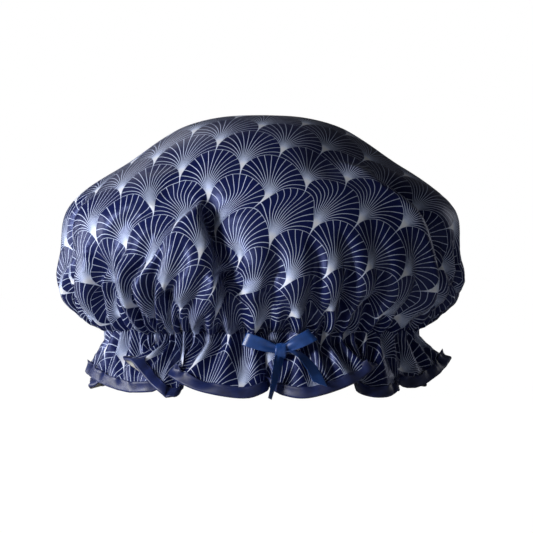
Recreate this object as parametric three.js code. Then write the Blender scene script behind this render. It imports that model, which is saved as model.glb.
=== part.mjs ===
// A double-layer shower cap, puffed up and standing on its hem.
// Millimetres, +Z up, the bow faces -Y, and the origin is on the table under the middle of the cap.
// Outside in: printed satin, a flat elastic in its sewn channel, and a waterproof film lining.
// A satin bias binding wraps both edges of the flounce, and a ribbon bow is tacked to the elastic line.
import * as THREE from 'three';
import { mergeVertices } from 'three/addons/utils/BufferGeometryUtils.js';

// The puffed crown, over the outside of the cloth.
const crownWidth = 301;
const crownDepth = 236;
const crownHeight = 204;

// The elastic ring that gathers the cloth, and its sewn channel.
const ringWidth = 220;
const ringDepth = 164;
const channelTop = 47;
const channelWidth = 10;
const elasticWidth = 8;
const elasticThickness = 0.8;

// The two sheets, and the gap between any two layers.
const clothThickness = 0.6;
const liningThickness = 0.4;
const layerGap = 0.3;
const liningHang = 17;
const liningFallPower = 4;

// The flounce below the channel, and the flat cut of the hem where it stands.
const flounceFlare = 15;
const waveCount = 14;
const waveDepth = 8.5;
const hemLift = 5;
const hemSwag = 15;
const hemCut = 0.5;

// The binding folded over the hem, and the depth of its stuffed lower edge.
const bindingWidth = 7.5;
const bindingThickness = 0.5;
const hemFold = 1.8;

// The crown's main folds: depth, half width, and the length over which each starts and ends.
const foldDepth = 12;
const foldWidth = 12;
const foldFade = 34;

// The ribbon bow.
const ribbonWidth = 9.5;
const ribbonThickness = 0.6;
const knotWidth = 8;
const knotHeight = 11.5;
const knotDepth = 6.5;
const loopLength = 21;
const loopOpening = 5;
const loopRise = 3;
const loopSwing = 5;
const tailLength = 40;
const tailSlant = 5;
const leftTailTwist = THREE.MathUtils.degToRad(50);
const bowOffset = 14.4;
const bowDrop = 9;

// How finely each form is divided.
const crownSteps = 60;
const flounceSteps = 84;
const flounceRows = 3;
const loopSteps = 14;
const tailSteps = 8;
const knotSteps = 12;

// How far apart a surface is probed for its normal, and how close two points are one.
const probeStep = 1e-3;
const samePoint = 1e-4;

const fullTurn = 2 * Math.PI;

// The crown's outline, from its top to the channel: [share of the half width or half depth,
// share of the height above the channel]. The side is high-shouldered, the front rounder.
const sideOutlineShares = [
  [0, 1], [0.19, 0.995], [0.364, 0.955], [0.49, 0.89], [0.66, 0.775], [0.86, 0.655],
  [0.965, 0.535], [0.985, 0.36], [1, 0.24], [0.965, 0.13], [0.87, 0.055],
];
const frontOutlineShares = [
  [0, 1], [0.2, 0.995], [0.4, 0.955], [0.58, 0.88], [0.73, 0.77], [0.86, 0.64],
  [0.95, 0.48], [1, 0.31], [0.98, 0.2], [0.9, 0.1], [0.8, 0.045],
];
const neckShare = 0.018;

// Where the rings of the crown lie, as shares of the way from its top to the channel.
const crownRingShares = [0, 0.13, 0.26, 0.38, 0.5, 0.61, 0.72, 0.82, 0.91, 0.97, 1];

// The crown's main folds. Each path's places are shares of a turn, counted from +X through the
// back, and of the way down. Depths are shares of foldDepth, and a minus depth is a ridge. Widths
// are shares of foldWidth, on the side of the smaller turns and on the other.
const foldShares = [
  { path: [[0.7, 0.47], [0.718, 0.63], [0.727, 0.79], [0.73, 1.1]], depth: 1, widths: [0.7, 1.1] },
  { path: [[0.708, 0.49], [0.684, 0.68], [0.672, 0.79]], depth: -0.4, widths: [0.7, 1.2] },
  { path: [[0.7, 0.46], [0.662, 0.7], [0.65, 0.8]], depth: 0.4, widths: [1.2, 0.7] },
  { path: [[0.676, 0.4], [0.655, 0.55], [0.605, 0.75]], depth: 0.65, widths: [0.7, 1.4] },
  { path: [[0.63, 0.7], [0.643, 0.82], [0.618, 1.1]], depth: -0.5, widths: [0.8, 0.8] },
  { path: [[0.606, 0.64], [0.614, 0.8], [0.585, 1.1]], depth: 1, widths: [0.8, 0.9] },
  { path: [[0.668, 0.76], [0.675, 0.9], [0.67, 1.1]], depth: 0.8, widths: [0.7, 0.8] },
  { path: [[0.766, 0.8], [0.775, 1.1]], depth: 0.75, widths: [0.7, 0.8] },
  { path: [[0.798, 0.82], [0.808, 1.1]], depth: 0.75, widths: [0.7, 0.7] },
  { path: [[0.825, 0.8], [0.872, 1.1]], depth: 0.85, widths: [0.8, 0.8] },
  { path: [[0.846, 0.34], [0.875, 0.53], [0.895, 0.7], [0.91, 0.95]], depth: -0.3, widths: [1.2, 0.7] },
  { path: [[0.866, 0.42], [0.898, 0.55], [0.916, 0.7], [0.925, 1.1]], depth: 1, widths: [0.7, 1.2] },
  { path: [[0.99, 0.5], [0.975, 1.1]], depth: 1, widths: [0.8, 1] },
  { path: [[0.035, 0.48], [0.045, 0.64], [0.046, 1.1]], depth: 0.9, widths: [0.9, 0.8] },
  { path: [[0.095, 0.58], [0.085, 1.1]], depth: 0.85, widths: [0.8, 0.8] },
  { path: [[0.135, 0.47], [0.15, 0.62], [0.15, 1.1]], depth: 1, widths: [0.8, 1] },
  { path: [[0.205, 0.6], [0.195, 1.1]], depth: 0.85, widths: [0.8, 0.8] },
  { path: [[0.272, 0.46], [0.255, 0.62], [0.25, 1.1]], depth: 1, widths: [1, 0.8] },
  { path: [[0.315, 0.61], [0.31, 1.1]], depth: 0.85, widths: [0.8, 0.8] },
  { path: [[0.357, 0.48], [0.37, 0.64], [0.372, 1.1]], depth: 1, widths: [0.8, 1] },
  { path: [[0.43, 0.56], [0.422, 1.1]], depth: 0.85, widths: [0.8, 0.8] },
  { path: [[0.488, 0.49], [0.478, 0.64], [0.48, 1.1]], depth: 0.9, widths: [0.9, 0.8] },
  { path: [[0.545, 0.5], [0.535, 1.1]], depth: 1, widths: [0.8, 0.9] },
];
const foldPower = 1.7;

// The share of the way down where every fold starts to fade to the channel.
const neckFadeShare = 0.8;

// Past this share of the way down, the lining's wall keeps the slant that it has here.
const neckNormalShare = 0.98;

// The front, as a share of a turn from +X, where the hem stands on the table.
const frontTurnShare = 0.75;

// The hem is highest right of the bow, where the lining shows.
const swagTurnShare = 0.845;
const swagSpreadShare = 0.035;
const liftCount = 7;

// The knot's rows, as shares of half its height, and how its size falls off from its middle.
const knotRowShares = [-1, -0.8, -0.4, 0, 0.4, 0.8, 1];
const knotTaperShare = 0.75;
const knotEndShare = 0.2;

// A loop's path: [share of its length, share of half its opening, from front to back].
const loopShares = [
  [0, -0.35], [0.3, -0.9], [0.7, -1], [0.92, -0.75], [1, 0], [0.92, 0.75], [0.7, 1], [0.3, 0.9],
  [0, 0.35],
];

// The tails' paths from under the knot, as shares of a tail's length: right, back, up.
const leftTailShares = [
  [-0.1, -0.07, -0.02], [-0.11, -0.22, -0.16], [-0.16, -0.44, -0.38], [-0.22, -0.62, -0.6],
  [-0.26, -0.69, -0.72],
];
const rightTailShares = [
  [0.04, 0, 0], [0.045, -0.05, -0.11], [0.14, -0.17, -0.21], [0.36, -0.27, -0.29],
  [0.57, -0.33, -0.4], [0.7, -0.36, -0.56],
];

function smoothStep(from, to, value) {
  return THREE.MathUtils.smoothstep(value, from, to);
}

// One outline of the crown, scaled from its shares and ended upright on the ring.
function crownOutline(shares, halfWidth, ringHalf) {
  const height = crownHeight - channelTop;
  const points = shares.map(([out, up]) => new THREE.Vector2(out * halfWidth, channelTop + up * height));
  points.push(new THREE.Vector2(ringHalf, channelTop + neckShare * height));
  points.push(new THREE.Vector2(ringHalf, channelTop + layerGap));
  return new THREE.SplineCurve(points);
}

const sideOutline = crownOutline(sideOutlineShares, crownWidth / 2, ringWidth / 2);
const frontOutline = crownOutline(frontOutlineShares, crownDepth / 2, ringDepth / 2);

// The unfolded crown: two outlines blended round an ellipse.
function crownBase(turn, way) {
  const angle = turn * fullTurn;
  const share = THREE.MathUtils.clamp(way, 0, 1);
  const side = sideOutline.getPointAt(share);
  const front = frontOutline.getPointAt(share);
  const sideways = Math.cos(angle) ** 2;
  return new THREE.Vector3(
    side.x * Math.cos(angle),
    front.x * Math.sin(angle),
    side.y * sideways + front.y * (1 - sideways),
  );
}

// The outward normal of a surface that is given by a turn and a way down it.
function normalOf(surface, turn, way) {
  const across = surface(turn + probeStep, way).sub(surface(turn - probeStep, way));
  const down = surface(turn, way + probeStep).sub(surface(turn, way - probeStep));
  const normal = new THREE.Vector3().crossVectors(down, across);
  if (normal.lengthSq() === 0) {
    return new THREE.Vector3(0, 0, 1);
  }
  return normal.normalize();
}

// How a place on the crown lies to a fold's path: how far off it, on which side, and how far the
// nearest place of the path is from its nearer end.
function besideFold(path, turn, way) {
  const roundHere = fullTurn * sideOutline.getPointAt(THREE.MathUtils.clamp(way, 0, 1)).x;
  const downHere = sideOutline.getLength();
  const wholeTurns = Math.round(path[0][0] - turn);
  const spots = path.map(([turnAt, wayAt]) => (
    new THREE.Vector2((turnAt - turn - wholeTurns) * roundHere, (wayAt - way) * downHere)
  ));
  let nearest = { off: Infinity };
  let before = 0;
  for (let i = 1; i < spots.length; i += 1) {
    const step = spots[i].clone().sub(spots[i - 1]);
    const share = THREE.MathUtils.clamp(-spots[i - 1].dot(step) / step.lengthSq(), 0, 1);
    const foot = spots[i - 1].clone().addScaledVector(step, share);
    if (foot.length() < nearest.off) {
      const side = step.cross(foot) < 0 ? 0 : 1;
      nearest = { off: foot.length(), side, along: before + share * step.length() };
    }
    before += step.length();
  }
  return { off: nearest.off, side: nearest.side, fromEnd: Math.min(nearest.along, before - nearest.along) };
}

// How far a place on the crown sinks in its folds. No fold reaches the lining.
function crownSink(turn, way) {
  let sink = 0;
  for (const { path, depth, widths } of foldShares) {
    const place = besideFold(path, turn, way);
    const dip = Math.exp(-((place.off / (widths[place.side] * foldWidth)) ** foldPower));
    sink += depth * dip * smoothStep(0, foldFade, place.fromEnd);
  }
  return foldDepth * Math.min(sink, 1) * (1 - smoothStep(neckFadeShare, 1, way));
}

function crownSurface(turn, way) {
  const point = crownBase(turn, way);
  return point.addScaledVector(normalOf(crownBase, turn, way), -crownSink(turn, way));
}

// The length of cloth below the channel: from its lower stitch row down and out to the table.
const flounceLength = Math.hypot(channelTop - channelWidth, flounceFlare);
const hemAt = channelWidth + flounceLength;

// How high the hem is above its lowest places, round the cap.
function hemHeight(turn) {
  const ripple = 0.5 - 0.5 * Math.cos(fullTurn * liftCount * (turn - frontTurnShare));
  const apart = turn - swagTurnShare - Math.round(turn - swagTurnShare);
  const swag = Math.exp(-((apart / swagSpreadShare) ** 2));
  return hemLift * ripple + hemSwag * swag;
}

// The channel and flounce: upright past the elastic, then flared and waved down to the hem.
function flounceSurface(turn, drop) {
  const angle = turn * fullTurn;
  const fallen = Math.max(0, (drop - channelWidth) / flounceLength);
  const wave = Math.cos(fullTurn * waveCount * (turn - frontTurnShare));
  const out = (flounceFlare + waveDepth * wave) * smoothStep(0, 1, fallen);
  const inChannel = Math.min(drop, channelWidth);
  const fall = (channelTop - channelWidth + hemCut - hemHeight(turn)) * fallen;
  return new THREE.Vector3(
    (ringWidth / 2 + out) * Math.cos(angle),
    (ringDepth / 2 + out) * Math.sin(angle),
    channelTop - inChannel - fall,
  );
}

// Each layer's distance from the middle of the elastic: wide at the channel, close at the hem.
function layerSpread(drop) {
  const open = 1 - smoothStep(channelWidth, hemAt - bindingWidth, drop);
  return (elasticThickness / 2 + layerGap) * open + (layerGap / 2) * (1 - open);
}

// A closed ring from one section carried round the cap. sectionAt gives the section's points.
function ringBody(steps, sectionAt) {
  const sections = Array.from({ length: steps }, (_, i) => sectionAt(i / steps));
  return skin(sections, true);
}

// Joins sections of equally many points into one closed body with its faces pointing out. Each
// four-sided face is split from its higher side here to its lower side on the next section, so that
// two layers that lie close together are divided alike and stay apart.
function skin(sections, closed) {
  const count = sections[0].length;
  const triangles = [];
  const add = (a, b, c) => {
    if (Math.min(a.distanceTo(b), b.distanceTo(c), c.distanceTo(a)) > samePoint) {
      triangles.push(a, b, c);
    }
  };
  const spans = closed ? sections.length : sections.length - 1;
  for (let i = 0; i < spans; i += 1) {
    const here = sections[i];
    const next = sections[(i + 1) % sections.length];
    for (let j = 0; j < count; j += 1) {
      const k = (j + 1) % count;
      if (here[k].z > here[j].z) {
        add(here[j], here[k], next[j]);
        add(here[k], next[k], next[j]);
      } else {
        add(here[j], next[k], next[j]);
        add(here[j], here[k], next[k]);
      }
    }
  }
  if (!closed) {
    const first = sections[0];
    const last = sections[sections.length - 1];
    for (let j = 1; j < count - 1; j += 1) {
      add(first[0], first[j + 1], first[j]);
      add(last[0], last[j], last[j + 1]);
    }
  }
  const geometry = new THREE.BufferGeometry().setFromPoints(triangles);
  const merged = mergeVertices(geometry, samePoint);
  merged.computeVertexNormals();
  return merged;
}

// A point on a layer, which is carried off a surface along its normal. Nothing goes below the table.
function layerPoint(surface, turn, way, offset) {
  const point = surface(turn, way).addScaledVector(normalOf(surface, turn, way), offset);
  point.z = Math.max(0, point.z);
  return point;
}

// A dome of one sheet, from the top of the crown to the channel. pointAt gives a point of the
// sheet from its turn, its way down and how far it lies inside the sheet's outer face.
function domeBody(pointAt, thickness) {
  return ringBody(crownSteps, (turn) => {
    const outer = crownRingShares.map((way) => pointAt(turn, way, 0));
    const inner = crownRingShares.map((way) => pointAt(turn, way, thickness));
    return outer.concat(inner.reverse());
  });
}

function clothPoint(turn, way, inward) {
  const outward = clothThickness - inward;
  if (way === 0) {
    return crownTop(outward);
  }
  return layerPoint(crownSurface, turn, way, outward);
}

// The lining hangs inside the deepest fold and comes back to the cloth at the channel.
function liningPoint(turn, way, inward) {
  const outward = -liningHang * Math.sqrt(1 - way ** liningFallPower) - inward;
  if (way === 0) {
    return crownTop(outward);
  }
  const normal = normalOf(crownBase, turn, Math.min(way, neckNormalShare));
  return crownBase(turn, way).addScaledVector(normal, outward);
}

function crownTop(outward) {
  return new THREE.Vector3(0, 0, crownHeight + outward);
}

// A skirt of one sheet, from the channel's top to near the hem. side is 1 outside, -1 inside.
function skirtBody(side, thickness) {
  const bound = hemAt - bindingWidth;
  const drops = [0, channelWidth];
  for (let i = 1; i <= flounceRows; i += 1) {
    drops.push(THREE.MathUtils.lerp(channelWidth, bound, i / flounceRows));
  }
  drops.push(hemAt - hemFold - layerGap);
  return ringBody(flounceSteps, (turn) => {
    const near = drops.map((drop) => skirtPoint(turn, drop, side * layerSpread(drop)));
    const far = drops.map((drop) => skirtPoint(turn, drop, side * (layerSpread(drop) + thickness)));
    return side > 0 ? far.concat(near.reverse()) : near.concat(far.reverse());
  });
}

function skirtPoint(turn, drop, offset) {
  return layerPoint(flounceSurface, turn, drop, offset);
}

// The elastic, in the middle of its channel.
function elasticBody() {
  const top = (channelWidth - elasticWidth) / 2;
  const half = elasticThickness / 2;
  return ringBody(flounceSteps, (turn) => [
    skirtPoint(turn, top, half),
    skirtPoint(turn, top + elasticWidth, half),
    skirtPoint(turn, top + elasticWidth, -half),
    skirtPoint(turn, top, -half),
  ]);
}

// The binding: a U round both sheets' edges.
function bindingBody() {
  const top = hemAt - bindingWidth;
  const fold = hemAt - hemFold;
  const outFace = layerGap / 2 + clothThickness + layerGap;
  const inFace = layerGap / 2 + liningThickness + layerGap;
  return ringBody(flounceSteps, (turn) => [
    skirtPoint(turn, top, outFace + bindingThickness),
    skirtPoint(turn, hemAt, outFace + bindingThickness),
    skirtPoint(turn, hemAt, -inFace - bindingThickness),
    skirtPoint(turn, top, -inFace - bindingThickness),
    skirtPoint(turn, top, -inFace),
    skirtPoint(turn, fold, -inFace),
    skirtPoint(turn, fold, outFace),
    skirtPoint(turn, top, outFace),
  ]);
}

// A strip of ribbon along a path. widthAt gives the direction of its width from the path's own.
function ribbonBody(path, steps, widthAt, slant) {
  const curve = new THREE.CatmullRomCurve3(path);
  const sections = [];
  for (let i = 0; i <= steps; i += 1) {
    const share = i / steps;
    const middle = curve.getPointAt(share);
    const along = curve.getTangentAt(share);
    const across = widthAt(along).normalize();
    const face = new THREE.Vector3().crossVectors(along, across);
    const corners = [[-1, -1], [1, -1], [1, 1], [-1, 1]];
    sections.push(corners.map(([w, t]) => middle.clone()
      .addScaledVector(across, (w * ribbonWidth) / 2)
      .addScaledVector(face, (t * ribbonThickness) / 2)
      .addScaledVector(along, share === 1 ? (-w * slant) / 2 : 0)));
  }
  return skin(sections, false);
}

// One loop of the bow, out from the knot and back. side is 1 to the right, -1 to the left.
function loopBody(side) {
  const start = knotWidth / 2 + layerGap;
  const path = loopShares.map(([out, open]) => new THREE.Vector3(
    side * (start + out * loopLength),
    (open * loopOpening) / 2 - out * loopSwing,
    out * loopRise,
  ));
  return ribbonBody(path, loopSteps, () => new THREE.Vector3(0, 0, 1), 0);
}

// A tail, from under the knot down over the flounce. twist turns its face away from the front.
function tailBody(shares, twist) {
  const start = new THREE.Vector3(0, 0, -knotHeight / 2 - layerGap);
  const path = shares.map((share) => new THREE.Vector3(...share).multiplyScalar(tailLength).add(start));
  const widthAt = (along) => new THREE.Vector3(0, 1, 0).cross(along).applyAxisAngle(along, twist);
  return ribbonBody(path, tailSteps, widthAt, tailSlant);
}

// The knot: the ribbon's own turn round the middle, full in front and narrower at its waist.
function knotBody() {
  const sections = knotRowShares.map((row) => {
    const size = Math.sqrt(Math.max(knotEndShare, 1 - knotTaperShare * row * row));
    return Array.from({ length: knotSteps }, (_, i) => {
      const angle = (i / knotSteps) * fullTurn;
      return new THREE.Vector3(
        (knotWidth / 2) * size * Math.cos(angle),
        (knotDepth / 2) * size * Math.sin(angle),
        (knotHeight / 2) * row,
      );
    });
  });
  return skin(sections, false);
}

function material(color, roughness) {
  return new THREE.MeshStandardMaterial({ color, roughness, metalness: 0 });
}

const printedSatin = material(0x1c2350, 0.45);
const filmLining = material(0xe9e6dc, 0.5);
const braidedElastic = material(0xf2f1ee, 0.8);
const satinBinding = material(0x202d5e, 0.35);
const satinRibbon = material(0x1d3f8f, 0.35);

function named(name, geometry, surface) {
  const mesh = new THREE.Mesh(geometry, surface);
  mesh.name = name;
  return mesh;
}

// The bow, tacked to the front of the channel.
function bow() {
  const turn = 1 - Math.acos(bowOffset / (ringWidth / 2)) / fullTurn;
  const clothFace = elasticThickness / 2 + layerGap + clothThickness;
  const seat = layerPoint(flounceSurface, turn, bowDrop, clothFace + layerGap + knotDepth / 2);
  const group = new THREE.Group();
  group.add(named('bow_knot', knotBody(), satinRibbon));
  group.add(named('bow_loop_left', loopBody(-1), satinRibbon));
  group.add(named('bow_loop_right', loopBody(1), satinRibbon));
  group.add(named('bow_tail_left', tailBody(leftTailShares, leftTailTwist), satinRibbon));
  group.add(named('bow_tail_right', tailBody(rightTailShares, 0), satinRibbon));
  group.position.copy(seat);
  return group;
}

// Moves the whole cap so that the middle of its length and depth is over the origin.
function centre(group) {
  const middle = new THREE.Box3().setFromObject(group).getCenter(new THREE.Vector3());
  group.position.set(-middle.x, -middle.y, 0);
}

const cap = new THREE.Group();
cap.add(named('crown_cloth', domeBody(clothPoint, clothThickness), printedSatin));
cap.add(named('crown_lining', domeBody(liningPoint, liningThickness), filmLining));
cap.add(named('flounce_cloth', skirtBody(1, clothThickness), printedSatin));
cap.add(named('flounce_lining', skirtBody(-1, liningThickness), filmLining));
cap.add(named('elastic_band', elasticBody(), braidedElastic));
cap.add(named('edge_binding', bindingBody(), satinBinding));
cap.add(bow());
centre(cap);

export default cap;
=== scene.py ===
"""A double-layer shower cap, puffed up and standing on its bound hem, dressed for rendering.

The cloth is one flat circle, gathered on the elastic and puffed by a cloth simulation. The lining,
the binding, the threads and the bow are fitted to it. Lengths are written in millimetres times MM.
"""
import math

import bmesh
import bpy
import numpy as np
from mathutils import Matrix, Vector


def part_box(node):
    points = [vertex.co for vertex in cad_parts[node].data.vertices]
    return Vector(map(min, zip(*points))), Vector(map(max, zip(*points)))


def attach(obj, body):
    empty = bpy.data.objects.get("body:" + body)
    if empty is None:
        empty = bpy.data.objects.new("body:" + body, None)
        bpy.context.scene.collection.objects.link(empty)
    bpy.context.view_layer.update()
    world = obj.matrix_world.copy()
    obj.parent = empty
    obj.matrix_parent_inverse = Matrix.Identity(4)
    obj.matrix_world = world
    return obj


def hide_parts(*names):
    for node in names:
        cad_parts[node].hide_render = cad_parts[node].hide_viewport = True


MM = 0.001
TURN = 2 * math.pi
UP = np.array([0.0, 0.0, 1.0])

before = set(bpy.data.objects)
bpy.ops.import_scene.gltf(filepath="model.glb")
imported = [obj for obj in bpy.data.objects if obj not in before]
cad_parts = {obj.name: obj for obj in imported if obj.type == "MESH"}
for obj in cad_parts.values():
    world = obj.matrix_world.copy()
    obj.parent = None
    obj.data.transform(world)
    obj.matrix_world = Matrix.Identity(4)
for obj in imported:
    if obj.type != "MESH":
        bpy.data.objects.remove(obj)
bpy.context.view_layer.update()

# The flat cut: rings of triangles from the middle of the circle to the hem. The elastic's channel is
# sewn along two of them.
RINGS = 74
RING_STEP = 4.3 * MM
UPPER_STITCH = 63
LOWER_STITCH = 65

# The elastic ring and the crown over it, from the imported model.
elastic_low, elastic_high = (np.array(corner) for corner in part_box("elastic_band"))
RING_MIDDLE = (elastic_low + elastic_high) / 2 * [1, 1, 0]
RING_HALF_WIDTH = (elastic_high[0] - elastic_low[0]) / 2
RING_HALF_DEPTH = (elastic_high[1] - elastic_low[1]) / 2
STITCH_ROOM = 1 * MM
CHANNEL_TOP = elastic_high[2] + STITCH_ROOM
CHANNEL_FOOT = elastic_low[2] - STITCH_ROOM
CROWN_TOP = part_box("crown_cloth")[1][2]
CROWN_HALF_WIDTH = 150.5 * MM
CROWN_HALF_DEPTH = 118 * MM

# The crown's outlines, from its top to the elastic: shares of the half width or depth, and of the
# height above the elastic. The sides are high-shouldered, the front rounder, and the neck upright.
SIDE_OUTLINE = (
    (0, 1), (0.19, 0.995), (0.364, 0.955), (0.49, 0.89), (0.66, 0.775), (0.86, 0.655),
    (0.965, 0.535), (0.985, 0.36), (1, 0.24), (0.965, 0.13), (0.87, 0.055),
)
FRONT_OUTLINE = (
    (0, 1), (0.2, 0.995), (0.4, 0.955), (0.58, 0.88), (0.73, 0.77), (0.86, 0.64),
    (0.95, 0.48), (1, 0.31), (0.98, 0.2), (0.9, 0.1), (0.8, 0.045),
)
NECK_SHARE = 0.018

# The crown's main folds: the path, as turns and ways down, and then in mm: the depth, less than
# nothing on a ridge; the half widths on the side of the smaller turns and on the other; and how far
# the bottom leans towards the smaller turns. Turns are shares of a full turn from +X through the
# back, so 0.75 is the front. A way is a share of the length from the crown's top to the elastic.
CROWN_FOLDS = (
    (((0.700, 0.47), (0.718, 0.63), (0.727, 0.79), (0.730, 1.1)), 19, (5, 13), 8),
    (((0.708, 0.49), (0.684, 0.68), (0.672, 0.79)), -6, (8, 14), 0),
    (((0.700, 0.46), (0.662, 0.70), (0.650, 0.80)), 7, (14, 8), 0),
    (((0.676, 0.40), (0.655, 0.55), (0.605, 0.75)), 9, (8, 17), 2),
    (((0.630, 0.70), (0.643, 0.82), (0.618, 1.1)), -6, (8, 9), 0),
    (((0.606, 0.64), (0.614, 0.80), (0.585, 1.1)), 16, (8, 11), 3),
    (((0.668, 0.76), (0.675, 0.90), (0.670, 1.1)), 13, (6, 8), 3),
    (((0.718, 0.72), (0.740, 0.77), (0.754, 0.765), (0.778, 0.725)), 5, (6, 6), 0),
    (((0.766, 0.80), (0.775, 1.1)), 12, (6, 8), 1),
    (((0.798, 0.82), (0.808, 1.1)), 12, (7, 7), -2),
    (((0.825, 0.80), (0.872, 1.1)), 13, (8, 8), -2),
    (((0.846, 0.34), (0.875, 0.53), (0.895, 0.70), (0.910, 0.95)), -5, (14, 7), 0),
    (((0.866, 0.42), (0.898, 0.55), (0.916, 0.70), (0.925, 1.1)), 15, (7, 13), 4),
    (((0.955, 0.62), (0.950, 1.1)), 11, (7, 8), -2),
    (((0.990, 0.50), (0.985, 1.1)), 14, (9, 10), 3),
    (((0.035, 0.48), (0.045, 0.64), (0.046, 1.1)), 14, (10, 9), -3),
    (((0.095, 0.58), (0.085, 1.1)), 13, (8, 9), 2),
    (((0.135, 0.47), (0.150, 0.62), (0.150, 1.1)), 15, (9, 11), 3),
    (((0.205, 0.60), (0.195, 1.1)), 13, (8, 8), -2),
    (((0.272, 0.46), (0.255, 0.62), (0.250, 1.1)), 15, (11, 9), -3),
    (((0.315, 0.61), (0.310, 1.1)), 12, (8, 8), 2),
    (((0.357, 0.48), (0.370, 0.64), (0.372, 1.1)), 15, (9, 11), 3),
    (((0.430, 0.56), (0.422, 1.1)), 13, (8, 8), -2),
    (((0.488, 0.49), (0.478, 0.64), (0.480, 1.1)), 14, (10, 9), 2),
    (((0.545, 0.50), (0.535, 1.1)), 15, (9, 10), -3),
)

# A main fold fades out over this many mm at its ends. The power flattens its floor.
FOLD_FADE = 34
FOLD_POWER = 1.7

# The small gathers: how many run round the lower crown and how many at the elastic, and how deep
# they may get. Each wave of their drift has its size, its count round the cap and its start.
WIDE_GATHERS = 39
FINE_GATHERS = 78
DEEPEST_GATHER = 22 * MM
GATHER_DRIFT = ((0.9, 3, 0.5), (0.6, 7, 2))

# The share of its length that the cloth gives up in the channel's stitches.
CHANNEL_SLACK = 0.08

# Where each change towards the elastic starts and ends, as ways down the crown.
FOLDS_END = (0.84, 1.0)
WIDE_GATHERS_START = (0.60, 0.88)
FINE_GATHERS_START = (0.86, 0.98)
CRESTS_RISE = (0.86, 1.0)
CHANNEL_TURNS = (0.72, 1.0)
SLACK_START = (0.85, 1.0)

# The cloth is drawn flat round the bow's tack, as turns.
BOW_TURN = 0.771
BOW_REACH = 0.016
BOW_PULL = 0.6

# The hem round the front of the cap, from its left side to its right, in mm: right, back, up.
# It stands on its lowest folds, doubles back on itself at the left, and lifts right of the bow.
HEM_FRONT = (
    (-117, 10, 10), (-129, -12, 16), (-117, -42, 10), (-97, -66, 5), (-79, -78, 5), (-70, -74, 9),
    (-83, -66, 16), (-98, -66, 27), (-91, -80, 27), (-77, -92, 12), (-63, -98, 2), (-55, -90, 8),
    (-62, -81, 13), (-67, -88, 18), (-48, -97, 9), (-25, -101, 4), (-8, -99, 3), (4, -91, 8),
    (2, -87, 11), (14, -97, 5), (31, -102, 3), (52, -98, 8), (69, -88, 15), (81, -77, 24),
    (75, -67, 16), (66, -70, 8), (74, -84, 3), (87, -79, 2), (98, -67, 6), (95, -56, 12),
    (103, -54, 7), (115, -45, 8), (130, -31, 17), (139, -8, 26), (130, 15, 15),
)

# The hem's folds round the back, from the cap's right to its left: their count, and the turns of
# the first one and from the first to the last. Below the channel the cloth bellies out and down.
BACK_HEM_FOLDS = 11
BACK_HEM_START = 0.05
BACK_HEM_SPAN = 0.42
FLOUNCE_BELLY = 9 * MM

# The cloth simulation: how firmly the crown and the flounce keep to their start shape, where 1 is
# held still, how hard air puffs the cloth, and for how many frames.
CROWN_PIN = 0.04
FLOUNCE_PIN = 0.4
PUFF_PRESSURE = 4
PUFF_FRAMES = 24

# The print: scallops with the radius of one fan, each row over the one behind it, half a fan aside.
# The ink of a ray and of a fan's edge thins out between two distances from the line's middle.
FAN_RADIUS = 26 * MM
FAN_RAYS = 27
PRINT_LINE = 0.5 * MM
RAY_INK = (0.25 * PRINT_LINE, 0.6 * PRINT_LINE)
EDGE_INK = (0.45 * PRINT_LINE, 0.8 * PRINT_LINE)
PRINT_TURN = math.radians(17)
PRINT_SHIFT = (8.7 * MM, 15.2 * MM, 0)

# At a fan's foot: the chalky dart, its ragged end and how softly it ends, and the pale glow round it.
DART_LENGTH = 8.5 * MM
DART_RAGGED = 3 * MM
DART_FADE = 4.5 * MM
GLOW_REACH = (11 * MM, 25 * MM)
GLOW_POWER = 1.8
GLOW_MOST = 0.6

# The film's distance from the cloth and from the channel, where it leaves the cloth over some rows
# of the cut, and how low the cloth and the tape may hang.
LAYER_GAP = 0.9 * MM
ELASTIC_ROOM = 1.4 * MM
LINING_BLEND = 4
HEM_LOWEST = 1 * MM
TAPE_LOWEST = 0.05 * MM

# The tape and its puckers, and the sewing. The tape's section runs from its outer fold down round
# the edge and up inside: up from the edge, and out of the cloth, in mm.
BINDING_SECTION = (
    (7.5, 0.2), (7.45, 0.5), (6.8, 0.6), (6.1, 0.45), (5.4, 0.6), (3.2, 0.7), (0.6, 0.65),
    (-0.4, 0.35), (-0.7, -0.35), (-0.4, -1.05), (0.6, -1.35), (5.4, -1.3), (6.1, -1.15), (6.8, -1.3),
    (7.45, -1.2), (7.5, -0.9), (7.5, 0.2),
)
PUCKER = 0.12 * MM
PUCKER_LENGTHS = (4.1 * MM, 2.7 * MM)
STITCH_PITCH = 3.2 * MM
STITCH_GAP = 0.1 * STITCH_PITCH
THREAD_WIDTH = 0.32 * MM
THREAD_LIFT = 0.3 * THREAD_WIDTH
BINDING_STITCH_UP = 6.1 * MM
BINDING_STITCH_OUT = 0.45 * MM
BINDING_STITCH_LINE = 1.5 * MM

# The bow, in mm. Loops: right and up from the knot to the tip, and the tip's lean. Their path: the
# share of the way out, and back. Tails: right, up, clear of the cloth, the turn of the ribbon's
# width from +X towards the back in degrees, and the width that shows its creasing.
RIBBON_WIDTH = 9.5 * MM
RIBBON_THICKNESS = 0.35 * MM
RIBBON_BEND = 0.16
KNOT_PLACE = (13.8, 34.8)
KNOT_CLEAR = 2.6 * MM
KNOT_DEPTH = 7 * MM
KNOT_HEIGHT = 11.5 * MM
KNOT_SECTION = (
    (-3.0, 0.55), (-3.9, 0.75), (-4.0, 0.92), (-3.2, 1.0), (-1.6, 0.95), (-0.4, 1.03), (1.0, 0.96),
    (2.4, 1.02), (3.6, 0.97), (4.1, 0.85), (3.9, 0.7), (3.0, 0.55),
)
BOW_LOOPS = (("ribbon_loop_left", -25.4, 8.5, 0.1), ("ribbon_loop_right", 22.2, 11.3, 0.3))
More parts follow.
